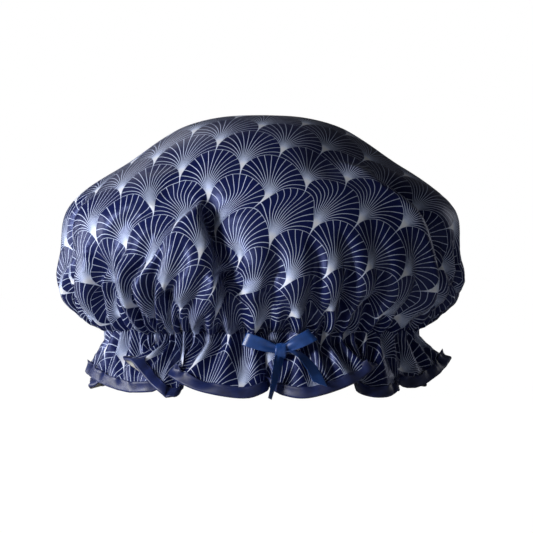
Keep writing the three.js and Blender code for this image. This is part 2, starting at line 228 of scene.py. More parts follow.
LOOP_PATH = (
    (0.02, -0.8), (0.25, -2.0), (0.55, -3.6), (0.85, -3.4), (0.97, -2.2), (1.0, -0.8), (0.95, 0.6),
    (0.75, 1.2), (0.45, 1.2), (0.2, 0.9), (0.02, 0.6),
)
LOOP_WIDTHS = (5.0, 7.0, 9.0, 9.5, 9.5, 9.5, 9.5, 9.4, 8.5, 6.5, 5.0)
LOOP_LEANS_FROM = 0.3
BOW_TAILS = (
    ("ribbon_tail_left", (
        (13.8, 34.8, 0, 30, 5), (12.6, 30, 2.5, 40, 7), (10.8, 22, 4.5, 55, 9),
        (8.6, 12, 5.0, 62, 9.5), (6.0, 1.9, 5.0, 68, 9.5),
    ), 2.0),
    ("ribbon_tail_right", (
        (13.8, 34.8, 0, 80, 5), (19.5, 35.5, 2.5, 80, 7), (26.8, 32.2, 3.0, 70, 9),
        (33.7, 25.0, 3.0, 50, 9.5), (38.0, 18.0, 3.0, 40, 9.5), (40.6, 12.4, 3.0, 40, 9.5),
    ), 6.0),
)
TAIL_AHEAD = 0.5 * MM
TAIL_BACK = 0.94
TAIL_RISE = 0.3

# The studio: name, place in metres, power in watts and size in metres of each lamp.
LAMPS = (
    ("key", (-1.05, -0.7, 0.32), 15, 0.3),
    ("side", (-0.9, 0.15, 0.15), 2.5, 0.3),
    ("top", (-0.35, 0.5, 0.7), 0.5, 0.3),
    ("right", (0.8, 0.4, 0.35), 0.6, 0.3),
)
LAMP_AIM = Vector((0, 0, 90 * MM))
STUDIO_LIGHT = 0.04
FLOOR_RADIUS = 3
FLOOR_GLOW = 0.96
FLOOR_WHITE = 1.04


def smooth(value, low, high):
    """0 below low, 1 above high, and an even slope between."""
    share = np.clip((value - low) / (high - low), 0, 1)
    return share * share * (3 - 2 * share)


def spline(points, closed=False, steps=16):
    """A smooth curve through points, drawn with some steps from each point to the next."""
    if closed:
        points = [points[-1], *points, *points[:2]]
    else:
        points = [points[0], *points, points[-1]]
    p = np.array(points, dtype=float)
    share = np.linspace(0, 1, steps, endpoint=False)[:, None]
    parts = []
    for a, b, c, d in zip(p, p[1:], p[2:], p[3:]):
        parts.append(0.5 * (2 * b + (c - a) * share + (2 * a - 5 * b + 4 * c - d) * share**2
                            + (3 * b - a - 3 * c + d) * share**3))
    if not closed:
        parts.append(p[-1][None])
    return np.vstack(parts)


def lengths_along(points):
    """The length of a polyline up to each of its points."""
    return np.concatenate([[0], np.cumsum(np.linalg.norm(np.diff(points, axis=0), axis=1))])


def unit(vectors):
    """Vectors drawn out or in to a length of 1."""
    return vectors / np.maximum(np.linalg.norm(vectors, axis=-1, keepdims=True), 1e-12)


def crown_outline(shares, half, ring_half):
    """One outline of the crown, ended upright on the ring: shares of its length, and its points."""
    height = CROWN_TOP - CHANNEL_TOP
    points = [(out * half, CHANNEL_TOP + up * height) for out, up in shares]
    points.append((ring_half, CHANNEL_TOP + NECK_SHARE * height))
    points.append((ring_half, CHANNEL_TOP))
    curve = spline(points)
    along = lengths_along(curve)
    return along / along[-1], curve


SIDE = crown_outline(SIDE_OUTLINE, CROWN_HALF_WIDTH, RING_HALF_WIDTH)
FRONT = crown_outline(FRONT_OUTLINE, CROWN_HALF_DEPTH, RING_HALF_DEPTH)
CROWN_LENGTH = lengths_along(SIDE[1])[-1]


def crown_base(turn, way):
    """The crown without folds: two outlines blended round an ellipse."""
    angle = turn * TURN
    side_out, side_up = (np.interp(way, SIDE[0], SIDE[1][:, i]) for i in (0, 1))
    front_out, front_up = (np.interp(way, FRONT[0], FRONT[1][:, i]) for i in (0, 1))
    sideways = np.cos(angle) ** 2
    return np.stack([
        side_out * np.cos(angle),
        front_out * np.sin(angle),
        side_up * sideways + front_up * (1 - sideways),
    ], axis=-1)


def crown_frame(turn, way):
    """The unit directions round the crown and out of it."""
    step = 1e-3
    low, high = max(way - step, step), min(way + step, 1)
    around = unit(crown_base(turn + step, way) - crown_base(turn - step, way))
    down = crown_base(turn, high) - crown_base(turn, low)
    return around, unit(np.cross(down, around))


def beside_fold(path, turn, way):
    """How places of a ring lie to a fold's path, in mm: how far off it and on which side, and how
    far the nearest place of the path is from its nearer end."""
    round_here = TURN * np.interp(way, SIDE[0], SIDE[1][:, 0]) / MM
    whole_turns = np.round(path[0][0] - turn)
    spots = []
    for turn_at, way_at in path:
        across = (turn_at - turn - whole_turns) * round_here
        spots.append(np.stack([across, 0 * across + (way_at - way) * CROWN_LENGTH / MM]))
    off = np.full(len(turn), np.inf)
    right = np.zeros(len(turn), dtype=bool)
    along = np.zeros(len(turn))
    before = np.zeros(len(turn))
    for start, end in zip(spots, spots[1:]):
        step = end - start
        share = np.clip(-(start * step).sum(0) / (step * step).sum(0), 0, 1)
        foot = start + step * share
        far = np.hypot(*foot)
        nearer = far < off
        off = np.where(nearer, far, off)
        right = np.where(nearer, step[0] * foot[1] > step[1] * foot[0], right)
        along = np.where(nearer, before + share * np.hypot(*step), along)
        before = before + np.hypot(*step)
    return off, right, np.minimum(along, before - along)


def folded_ring(turn, way):
    """A ring of the crown with its main folds, and the directions out of it."""
    around, out = crown_frame(turn, way)
    ring = crown_base(turn, way)
    above_neck = 1 - smooth(way, *FOLDS_END)
    for path, depth, (left, right), lean in CROWN_FOLDS:
        off, on_right, from_end = beside_fold(path, turn, way)
        dip = np.exp(-(off / np.where(on_right, right, left)) ** FOLD_POWER)
        dip = (dip * smooth(from_end, 0, FOLD_FADE) * above_neck)[:, None]
        ring = ring - out * dip * depth * MM - around * dip * lean * MM
    return ring, out


def gathers(even, way):
    """The cloth's small folds round a ring, from 0 at their crests to -1: wide crests between narrow
    valleys in the lower crown, and even ripples near the elastic."""
    drift = sum(size * np.sin(count * TURN * even + start) for size, count, start in GATHER_DRIFT)
    # The power narrows the valleys, and a slow wave makes some of them shallower.
    crease = (0.5 + 0.5 * np.cos(WIDE_GATHERS * TURN * even + 2.4 * drift)) ** 3
    crease = crease * (0.75 + 0.25 * np.sin(5 * TURN * even + 1)) * smooth(way, *WIDE_GATHERS_START)
    ripple = 0.5 + 0.5 * np.cos(FINE_GATHERS * TURN * even + 4 * drift)
    near_ring = smooth(way, *FINE_GATHERS_START)
    return -(crease * (1 - near_ring) + ripple * near_ring)


def gathered_ring(ring_row, channel_turn):
    """Where a ring of the cloth lies, at evenly spaced flat angles. Its small folds take up what
    its main folds leave of its length."""
    way = min(ring_row / UPPER_STITCH, 1)
    even = np.linspace(0, 1, len(channel_turn))
    folded, _ = folded_ring(even, way)
    along = lengths_along(folded)
    turn = np.interp(even, along / along[-1], even)
    turn = turn - np.mean(turn - even)
    turn = turn + (channel_turn - turn) * smooth(way, *CHANNEL_TURNS)
    ring, out = folded_ring(turn, way)
    # At the elastic the valleys lie against it, so the crests stand out from it.
    near_ring = smooth(way, *CRESTS_RISE)
    small = gathers(even, way) + near_ring
    bow_pull = 1 - BOW_PULL * np.exp(-((turn - BOW_TURN) / BOW_REACH) ** 2) * near_ring
    waves = (small * bow_pull)[:, None] * out
    target = TURN * ring_row * RING_STEP * (1 - CHANNEL_SLACK * smooth(way, *SLACK_START))
    # Halving finds the size of fold that brings the ring to its flat length.
    low, high = 0.0, DEEPEST_GATHER
    for _ in range(14):
        size = (low + high) / 2
        if lengths_along(ring + size * waves)[-1] < target:
            low = size
        else:
            high = size
    return ring + size * waves


def hem_curve():
    """The hem's path, closed, from the left side through the front and back again."""
    points = [np.array(p) * MM for p in HEM_FRONT]
    for i in range(BACK_HEM_FOLDS):
        # Each fold is an S of five points: a turn from its middle, then out and up in mm.
        middle = BACK_HEM_START + BACK_HEM_SPAN * i / (BACK_HEM_FOLDS - 1)
        swing = 0.005 + 0.003 * math.sin(2.1 * i)
        for offset, out, up in (
            (-0.010 - swing, -3, 14 + 4 * math.sin(1.3 * i)),
            (-0.014 - swing, 12, 5),
            (0.004, 20 + 3 * math.sin(3.1 * i), 2),
            (0.017 + swing, 14 + 3 * math.sin(2.7 * i + 1), 4),
            (0.010 + swing, -4, 15 + 4 * math.sin(1.9 * i + 2)),
        ):
            angle = (middle + offset) * TURN
            points.append(np.array([
                (RING_HALF_WIDTH + out * MM) * math.cos(angle),
                (RING_HALF_DEPTH + out * MM) * math.sin(angle),
                up * MM,
            ]))
    curve = spline(points, closed=True)
    return np.vstack([curve, curve[:1]])


def hem_by_angle(count):
    """The hem at evenly spaced flat angles, which start at +X and run through the back."""
    curve = hem_curve()
    along = lengths_along(curve)
    angle = np.unwrap(np.arctan2(curve[:, 1] / RING_HALF_DEPTH, curve[:, 0] / RING_HALF_WIDTH))
    turn = angle / TURN
    share = along / along[-1]
    offset = np.mean(turn - share)
    even = np.linspace(0, 1, count)
    at = np.mod(even - offset, 1)
    hem = np.stack([np.interp(at, share, curve[:, i]) for i in range(3)], axis=-1)
    hem_turn = even + np.interp(at, share, turn - share) - offset
    return hem, hem_turn


def blurred(values, reach):
    """Values round a ring, smoothed over reach samples to either side."""
    kernel = np.hanning(2 * reach + 3)[1:-1]
    ring = values[:-1]
    padded = np.concatenate([ring[-reach:], ring, ring[:reach]])
    result = np.convolve(padded, kernel / kernel.sum(), mode="valid")
    return np.concatenate([result, result[:1]])


def cap_rings(samples=2880):
    """The start shape: for each ring of the cut, its points at evenly spaced flat angles."""
    even = np.linspace(0, 1, samples + 1)
    hem, hem_turn = hem_by_angle(samples + 1)
    channel_turn = even + blurred(hem_turn - even, samples // 12)
    rings = [gathered_ring(row, channel_turn) for row in range(1, UPPER_STITCH + 1)]
    rings.insert(0, np.repeat(rings[0].mean(axis=0)[None], samples + 1, axis=0))
    top = rings[-1]
    foot = top - UP * (CHANNEL_TOP - CHANNEL_FOOT)
    for row in range(UPPER_STITCH + 1, RINGS + 1):
        drop = (row - UPPER_STITCH) / (LOWER_STITCH - UPPER_STITCH)
        if drop <= 1:
            rings.append(top + (foot - top) * drop)
            continue
        fall = (row - LOWER_STITCH) / (RINGS - LOWER_STITCH)
        line = foot + (hem - foot) * fall
        belly = FLOUNCE_BELLY * math.sin(math.pi * fall)
        side = unit((hem - foot) * [1, 1, 0] + 1e-9)
        rings.append(line - UP * belly * 0.4 + side * belly * 0.3)
    return np.array(rings)


class Cut:
    """The flat cut circle: rings of vertices, each with its flat angle as a share of a turn."""

    def __init__(self, name):
        bm = bmesh.new()
        bmesh.ops.create_circle(bm, cap_ends=True, cap_tris=True, segments=6, radius=1)
        bmesh.ops.subdivide_edges(bm, edges=bm.edges[:], cuts=RINGS - 1, use_grid_fill=True)
        bmesh.ops.recalc_face_normals(bm, faces=bm.faces[:])
        spots = np.array([v.co[:] for v in bm.verts])
        self.mesh = bpy.data.meshes.new(name)
        bm.to_mesh(self.mesh)
        bm.free()
        # Each ring is a hexagon until its vertices are spread evenly round a circle.
        angle = np.arctan2(spots[:, 1], spots[:, 0])
        sector = np.mod(angle - TURN / 4, TURN / 6) - TURN / 12
        reach = np.linalg.norm(spots[:, :2], axis=1) * np.cos(sector) / math.cos(TURN / 12)
        self.rows = np.rint(reach * RINGS).astype(int)
        self.share = np.mod(angle / TURN, 1)
        self.order = []
        for row in range(RINGS + 1):
            ring = np.where(self.rows == row)[0]
            ring = ring[np.argsort(self.share[ring])]
            first = round(self.share[ring[0]] * len(ring))
            self.share[ring] = np.mod((first + np.arange(len(ring))) / len(ring), 1)
            self.order.append(ring[np.argsort(self.share[ring])])
        radius = self.rows * RING_STEP
        angle = self.share * TURN
        self.flat = np.stack([radius * np.cos(angle), radius * np.sin(angle), 0 * radius], axis=1)

    def placed(self, rings):
        """The vertices' places, from points at evenly spaced flat angles on every ring."""
        even = np.linspace(0, 1, rings.shape[1])
        places = np.empty_like(self.flat)
        for row, ring in enumerate(self.order):
            places[ring] = resampled(even, rings[row], self.share[ring])
        return places

    def ring(self, places, row, share):
        """Points of one ring of the placed cloth, at flat angles."""
        ring = self.order[row]
        points = places[ring]
        own = self.share[ring]
        return resampled(np.append(own, own[0] + 1), np.vstack([points, points[:1]]), share)


def resampled(share, points, wanted):
    """Points along a closed line at the wanted shares, from points at other shares."""
    wanted = share[0] + np.mod(wanted - share[0], 1)
    return np.stack([np.interp(wanted, share, points[:, i]) for i in range(3)], axis=-1)


def set_places(mesh, places):
    """Moves a mesh's vertices to places, one for each."""
    mesh.vertices.foreach_set("co", np.asarray(places, dtype=np.float32).ravel())
    mesh.update()


def get_places(mesh):
    """The places of a mesh's vertices."""
    places = np.empty(len(mesh.vertices) * 3, dtype=np.float32)
    mesh.vertices.foreach_get("co", places)
    return places.reshape(-1, 3).astype(float)


def new_object(name, data):
    """An object in the scene for a mesh, a lamp or a camera."""
    obj = bpy.data.objects.new(name, data)
    bpy.context.scene.collection.objects.link(obj)
    return obj


def shade_smooth(mesh):
    """Draws all faces of a mesh as one rounded surface."""
    mesh.polygons.foreach_set("use_smooth", np.ones(len(mesh.polygons), dtype=bool))


def flat_map(mesh, flat):
    """The cloth's own map: the place of each corner in the flat cut, in metres."""
    layer = mesh.uv_layers.new(name="flat_cut")
    corner = np.empty(len(mesh.loops), dtype=np.int32)
    mesh.loops.foreach_get("vertex_index", corner)
    layer.data.foreach_set("uv", flat[corner, :2].astype(np.float32).ravel())


def puff(obj, cut, rest):
    """Simulates the cloth from its start shape: the crown puffs, and the channel holds still."""
    obj.shape_key_add(name="Basis")
    key = obj.shape_key_add(name="rest")
    key.data.foreach_set("co", rest.astype(np.float32).ravel())
    pins = obj.vertex_groups.new(name="pins")
    for row, ring in enumerate(cut.order):
        weight = CROWN_PIN if row < UPPER_STITCH else 1.0 if row <= LOWER_STITCH else FLOUNCE_PIN
        pins.add([int(i) for i in ring], weight, "REPLACE")
    cloth = obj.modifiers.new("Cloth", "CLOTH")
    settings = cloth.settings
    settings.quality = 6
    settings.mass = 0.1
    settings.tension_stiffness = 15
    settings.compression_stiffness = 15
    settings.shear_stiffness = 5
    settings.bending_stiffness = 0.5
    settings.air_damping = 2
    settings.vertex_group_mass = "pins"
    settings.rest_shape_key = key
    settings.use_pressure = True
    settings.uniform_pressure_force = PUFF_PRESSURE
    settings.effector_weights.gravity = 0
    cloth.collision_settings.use_collision = False
    cloth.collision_settings.use_self_collision = True
    cloth.collision_settings.self_distance_min = 1 * MM
    cloth.point_cache.frame_start = 1
    cloth.point_cache.frame_end = PUFF_FRAMES
    for number in range(1, PUFF_FRAMES + 1):
        bpy.context.scene.frame_set(number)
    made = obj.evaluated_get(bpy.context.evaluated_depsgraph_get())
    places = get_places(made.data)
    bpy.context.scene.frame_set(1)
    obj.modifiers.clear()
    obj.shape_key_clear()
    return places


def outer_cloth(cut, rings):
    """The printed circle, gathered and puffed. Returns the object and its vertices' places."""
    places = cut.placed(rings) + RING_MIDDLE
    set_places(cut.mesh, places)
    flat_map(cut.mesh, cut.flat)
    obj = new_object("outer_cloth", cut.mesh)
    below = (cut.rows >= LOWER_STITCH)[:, None]
    places = puff(obj, cut, np.where(below, places, cut.flat))
    places[:, 2] = np.maximum(places[:, 2], HEM_LOWEST)
    set_places(cut.mesh, places)
    shade_smooth(cut.mesh)
    return obj, places


def lining(cut, outer, outer_places):
    """The film circle, against the inside of the printed one. At the channel it passes inside the
    elastic, where its waves mirror those of the cloth."""
    normals = np.empty(len(outer_places) * 3, dtype=np.float32)
    outer.vertex_normals.foreach_get("vector", normals)
    normals = normals.reshape(-1, 3)
    if normals[cut.order[0][0], 2] < 0:
        normals = -normals
    channel = cut.ring(outer_places, UPPER_STITCH, cut.share)
    spot = (channel - RING_MIDDLE) * [1, 1, 0]
    # A reach of 1 is on the elastic's oval. A crest outside it goes as far inside it.
    reach = np.hypot(spot[:, 0] / RING_HALF_WIDTH, spot[:, 1] / RING_HALF_DEPTH)[:, None]
    inward = spot * (2 / np.maximum(reach, 1) - 2) - unit(spot) * ELASTIC_ROOM
    above = smooth(cut.rows, UPPER_STITCH - 1 - LINING_BLEND, UPPER_STITCH - 1)
    below = 1 - smooth(cut.rows, LOWER_STITCH, LOWER_STITCH + LINING_BLEND)
    apart = (above * below)[:, None]
    places = outer_places + inward * apart - normals * LAYER_GAP * (1 - apart)
    places[:, 2] = np.maximum(places[:, 2], HEM_LOWEST)
    set_places(cut.mesh, places)
    flat_map(cut.mesh, cut.flat)
    shade_smooth(cut.mesh)
    return new_object("film_lining", cut.mesh)


def surface(name, places, welded=False):
    """A grid of faces through places, with a map of the lengths along and across it, in metres."""
    along, across = places.shape[:2]
    lengths = lengths_along(places[:, across // 2])
    widths = lengths_along(places[along // 2])
    bm = bmesh.new()
    bmesh.ops.create_grid(bm, x_segments=along - 1, y_segments=across - 1, size=0.5)
    layer = bm.loops.layers.uv.new("tape_map")
    for vertex in bm.verts:
        i = round((vertex.co.x + 0.5) * (along - 1))
        j = round((vertex.co.y + 0.5) * (across - 1))
        vertex.co = places[i, j]
        for loop in vertex.link_loops:
            loop[layer].uv = (lengths[i], widths[j])
    if welded:
        bmesh.ops.remove_doubles(bm, verts=bm.verts[:], dist=1e-6)
    bmesh.ops.recalc_face_normals(bm, faces=bm.faces[:])
    mesh = bpy.data.meshes.new(name)
    bm.to_mesh(mesh)
    bm.free()
    shade_smooth(mesh)
    return new_object(name, mesh)


def rounded_edge(points):
    """A closed line of the cloth as its subdivided surface draws it."""
    return (np.roll(points, 1, axis=0) + 6 * points + np.roll(points, -1, axis=0)) / 8


def binding(cut, places):
    """The satin tape, folded over the hem: its section follows the cloth up from the edge."""
    count = 3 * len(cut.order[RINGS])
    share = np.arange(count) / count
    lines = []
    for row in (RINGS, RINGS - 1, RINGS - 2):
        line = rounded_edge(cut.ring(places, row, share))
        lines.append(np.vstack([line, line[:1]]))
    edge, above, higher = lines
    along = unit(np.roll(edge[:-1], -1, axis=0) - np.roll(edge[:-1], 1, axis=0))
    along = np.vstack([along, along[:1]])
    # The cloth's curve up from the edge, through the three lines.
    first = -1.5 * edge + 2 * above - 0.5 * higher
    second = 0.5 * edge - above + 0.5 * higher
    step = np.linalg.norm(higher - edge, axis=1)[:, None] / 2
    out = unit(np.cross(first, along))
    length = lengths_along(edge)
    long_wave, short_wave = PUCKER_LENGTHS
    pucker = 0.5 * np.sin(length / long_wave) + 0.5 * np.sin(length / short_wave + 1)
    tape = np.empty((count + 1, len(BINDING_SECTION), 3))
    for j, (up, off) in enumerate(BINDING_SECTION):
        rise = up * MM / step
        bend = second * rise * np.maximum(rise, 0)
        puff_out = PUCKER * pucker * np.sign(off) * (0 < up * MM < BINDING_STITCH_UP)
        tape[:, j] = edge + first * rise + bend + out * (off * MM + puff_out)[:, None]
    tape[:, :, 2] = np.maximum(tape[:, :, 2], TAPE_LOWEST)
    tape[-1] = tape[0]
    return surface("edge_tape", tape, welded=True)


def spot_on(line, length, at):
    """The place, or direction, at a length along a line."""
    return np.array([np.interp(at, length, line[:, i]) for i in range(3)])


def stitches(name, rows):
    """Threads along closed lines: each row gives its points and the directions off the cloth."""
    placed = []
    for points, off in rows:
        length = lengths_along(points)
        for at in np.arange(0, length[-1] - STITCH_PITCH, STITCH_PITCH):
            start = spot_on(points, length, at + STITCH_GAP)
            end = spot_on(points, length, at + STITCH_PITCH - STITCH_GAP)
            along = unit(end - start)
            side = unit(np.cross(unit(spot_on(off, length, at)), along))
            away = np.cross(along, side)
            middle = (start + end) / 2 + away * THREAD_LIFT
            half_length = np.linalg.norm(end - start) / 2
            axes = np.array([away * THREAD_WIDTH / 2, side * THREAD_WIDTH / 2, along * half_length])
            placed.append((middle, axes))
    # One small ball is doubled until there are enough, which is far quicker than making each.
    bm = bmesh.new()
    bmesh.ops.create_uvsphere(bm, u_segments=6, v_segments=4, radius=1)
    ball = np.array([v.co[:] for v in bm.verts])
    while len(bm.verts) < len(placed) * len(ball):
        bmesh.ops.duplicate(bm, geom=bm.verts[:] + bm.edges[:] + bm.faces[:])
    bm.verts.ensure_lookup_table()
    spare = bm.verts[len(placed) * len(ball):]
    bmesh.ops.delete(bm, geom=spare, context="VERTS")
    mesh = bpy.data.meshes.new(name)
    bm.to_mesh(mesh)
    bm.free()
    set_places(mesh, np.vstack([middle + ball @ axes for middle, axes in placed]))
    shade_smooth(mesh)
    return new_object(name, mesh)


def cloth_row(cut, places, row, count):
    """A closed line along a ring of the cloth, and the directions off the cloth's outer face."""
    share = np.arange(count) / count
    line = rounded_edge(cut.ring(places, row, share))
    above = rounded_edge(cut.ring(places, row - 1, share))
    along = np.roll(line, -1, axis=0) - np.roll(line, 1, axis=0)
    off = unit(np.cross(above - line, along))
    return np.vstack([line, line[:1]]), np.vstack([off, off[:1]])


def sewing(cut, places):
    """The threads: the channel's two rows, and the row that holds the binding."""
    count = 4 * len(cut.order[UPPER_STITCH])
    rows = [cloth_row(cut, places, row, count) for row in (UPPER_STITCH, LOWER_STITCH)]
    edge, off = cloth_row(cut, places, RINGS, count)
    above, _ = cloth_row(cut, places, RINGS - 1, count)
    up = unit(above - edge)
    rows.append((edge + up * BINDING_STITCH_UP + off * BINDING_STITCH_OUT, off))
    return stitches("sewing_threads", rows)


def front_of(places, right, up, reach=5 * MM):
    """How far forward the cloth comes near a place of the front view."""
    away = np.hypot(places[:, 0] - right, places[:, 2] - up)
    near = away < away.min() + reach
    return places[near & (places[:, 1] < 0), 1].min()


def ribbon(name, points, ways, widths, cut_slant=0.0, across=9):
    """A strip of ribbon along points. Ways point across it, and its widths and slant are in mm."""
    middle = spline(points)
    way = unit(spline(ways))
    width = spline([(w * MM, 0) for w in widths])[:, 0]
    along = unit(np.gradient(middle, axis=0))
    way = unit(way - along * (way * along).sum(1)[:, None])
    share = np.linspace(-0.5, 0.5, across)
    fold = unit(np.cross(along, way))
    # A narrowed ribbon creases lengthwise, so its section bends.
    bend = (RIBBON_WIDTH - width)[:, None] * RIBBON_BEND * np.cos(3 * math.pi * share)
    places = middle[:, None] + way[:, None] * (width[:, None] * share)[..., None]
    places += fold[:, None] * bend[..., None]
    # The last stretch is drawn out along the slanted cut.
    last = smooth(np.linspace(0, 1, len(middle)), 0.8, 1)[:, None] * share * cut_slant * MM
    places += along[:, None] * last[..., None]
    obj = surface(name, places)
    sheet = obj.modifiers.new("thickness", "SOLIDIFY")
    sheet.thickness = RIBBON_THICKNESS
    sheet.offset = 0
    finer = obj.modifiers.new("finer", "SUBSURF")
    finer.levels = finer.render_levels = 1
    return obj


def bow(places):
    """The ribbon bow on the elastic line: two loops and two tails, and the place of the knot round them.
    """
    right, up = KNOT_PLACE[0] * MM, KNOT_PLACE[1] * MM
    knot = np.array([right, front_of(places, right, up) - KNOT_CLEAR, up])
    pieces = {}
    for name, reach, rise, lean in BOW_LOOPS:
        ahead = unit(np.array([reach, 0, rise]))
        length = math.hypot(reach, rise)
        points = []
        for share, back in LOOP_PATH:
            points.append(knot + ahead * length * share * MM + np.array([0, back * MM, 0]))
        way = unit(np.cross(ahead, (0, 1, 0)))
        if way[2] < 0:
            way = -way
        leaning = unit(way - ahead * lean)
        ways = [leaning if share > LOOP_LEANS_FROM else way for share, _ in LOOP_PATH]
        pieces[name] = ribbon(name, points, ways, LOOP_WIDTHS)
    for name, tail, cut_slant in BOW_TAILS:
        points = [knot]
        for x, z, clear, _, _ in tail[1:]:
            y = min(front_of(places, x * MM, z * MM) - clear * MM, knot[1] - TAIL_AHEAD)
            points.append(np.array([x * MM, y, z * MM]))
        angles = [math.radians(angle) for _, _, _, angle, _ in tail]
        ways = [(math.cos(angle), math.sin(angle) * TAIL_BACK, TAIL_RISE) for angle in angles]
        widths = [width for _, _, _, _, width in tail]
        pieces[name] = ribbon(name, points, ways, widths, cut_slant)
    return pieces, knot


def knot_wrap(knot):
    """The knot: one turn of the ribbon round the bow's middle, creased lengthwise, its edges rolled in."""
    count = 40
    rows = np.empty((count + 1, len(KNOT_SECTION), 3))
    for i in range(count + 1):
        angle = TURN * i / count
        for j, (across, size) in enumerate(KNOT_SECTION):
            crease = 1 + 0.05 * math.sin(2 * angle + 1) + 0.04 * math.sin(3 * angle + 1.7 * j)
            rows[i, j] = (
                (across + 0.5 * math.sin(angle + 0.4)) * MM,
                KNOT_DEPTH / 2 * size * crease * math.cos(angle),
                KNOT_HEIGHT / 2 * size * crease * math.sin(angle),
            )
    rows[-1] = rows[0]
    obj = surface("ribbon_knot", rows + knot, welded=True)
    finer = obj.modifiers.new("finer", "SUBSURF")
    finer.levels = finer.render_levels = 1
    return obj


def colour(code):
    """An sRGB hex value as linear red, green, blue and alpha."""
    channels = [int(code[i:i + 2], 16) / 255 for i in (1, 3, 5)]
    return [c / 12.92 if c <= 0.04045 else ((c + 0.055) / 1.055) ** 2.4 for c in channels] + [1]


def give(material, made, inputs):
    """Gives a node's inputs values or links, by name or number. A string is a colour."""
    for key, value in inputs.items():
        if isinstance(value, bpy.types.NodeSocket):
            material.node_tree.links.new(value, made.inputs[key])
        elif isinstance(value, str):
            made.inputs[key].default_value = colour(value)
        elif value is not None:
            made.inputs[key].default_value = value


def add(material, kind, *values, output=0, **settings):
    """Adds a shader node with its settings and its inputs, in their order, and returns an output."""
    made = material.node_tree.nodes.new("ShaderNode" + kind)
    for key, value in settings.items():
        setattr(made, key, value)
    give(material, made, dict(enumerate(values)))
    return made.outputs[output]


def new_material(name):
    """A material and its main shader."""
    material = bpy.data.materials.new(name)
    material.use_nodes = True
    return material, material.node_tree.nodes["Principled BSDF"]


def per_metre(size):
    """How many cells of a pattern, with their size in mm, fit in a metre."""
    return 1 / (size * MM)


def fan_print(m, place):
    """The scallop print in white: the share of line ink, and how far a place is from its fan's foot."""
    turned = add(m, "Mapping", place, PRINT_SHIFT, (0, 0, PRINT_TURN))
    across, up, _ = add(m, "SeparateXYZ", turned).node.outputs

    def fan(row):
        """The place seen from the nearest fan of a row: right, up, and the distance."""
        odd = add(m, "Math", row, 2.0, operation="MODULO")
        aside = add(m, "Math", odd, FAN_RADIUS, operation="MULTIPLY")
        right = add(m, "Math", across, aside, operation="SUBTRACT")
        right = add(m, "Math", right, FAN_RADIUS, -FAN_RADIUS, operation="WRAP")
        above = add(m, "Math", row, -FAN_RADIUS, up, operation="MULTIPLY_ADD")
        spot = add(m, "CombineXYZ", right, above)
        away = add(m, "VectorMath", spot, operation="LENGTH", output="Value")
        return right, above, away

    lowest = add(m, "Math", up, 1 / FAN_RADIUS, -1.0, operation="MULTIPLY_ADD")
    lowest = add(m, "Math", lowest, operation="CEIL")
    near = fan(lowest)
    far = fan(add(m, "Math", lowest, 1.0, operation="ADD"))
    inside = add(m, "Math", near[2], FAN_RADIUS, operation="LESS_THAN")
    right, above, distance = (add(m, "Mix", inside, None, b, a) for a, b in zip(near, far))

    # The rays are arcs that all start upright at the fan's foot and meet its edge squarely.
    from_foot = add(m, "Math", above, FAN_RADIUS, operation="ADD")
    spot = add(m, "CombineXYZ", right, from_foot)
    far_off = add(m, "VectorMath", spot, operation="LENGTH", output="Value")
    far_off = add(m, "Math", far_off, 0.1 * MM, operation="MAXIMUM")
    squared = add(m, "Math", far_off, far_off, operation="MULTIPLY")
    slope = add(m, "Math", right, 2 * FAN_RADIUS, operation="MULTIPLY")
    slope = add(m, "Math", slope, squared, operation="DIVIDE")
    ray_step = math.pi / FAN_RAYS
    ray = add(m, "Math", slope, operation="ARCTANGENT")
    ray = add(m, "Math", ray, ray_step, operation="DIVIDE")

    # The way off the nearest ray is a share of the gap between two rays, times that gap here.
    off_ray = add(m, "Math", ray, 0.5, operation="PINGPONG")
    spread = add(m, "Math", slope, slope, 1.0, operation="MULTIPLY_ADD")
    gap = add(m, "Math", squared, ray_step / (2 * FAN_RADIUS), operation="MULTIPLY")
    gap = add(m, "Math", spread, gap, operation="MULTIPLY")
    off_line = add(m, "Math", off_ray, gap, operation="MULTIPLY")
    ray_ink = add(m, "MapRange", off_line, *RAY_INK, 1.0, 0.0)
    from_edge = add(m, "Math", FAN_RADIUS, distance, operation="SUBTRACT")
    from_edge = add(m, "Math", from_edge, operation="ABSOLUTE")
    edge_ink = add(m, "MapRange", from_edge, *EDGE_INK, 1.0, 0.0)
    return add(m, "Math", ray_ink, edge_ink, operation="MAXIMUM"), far_off


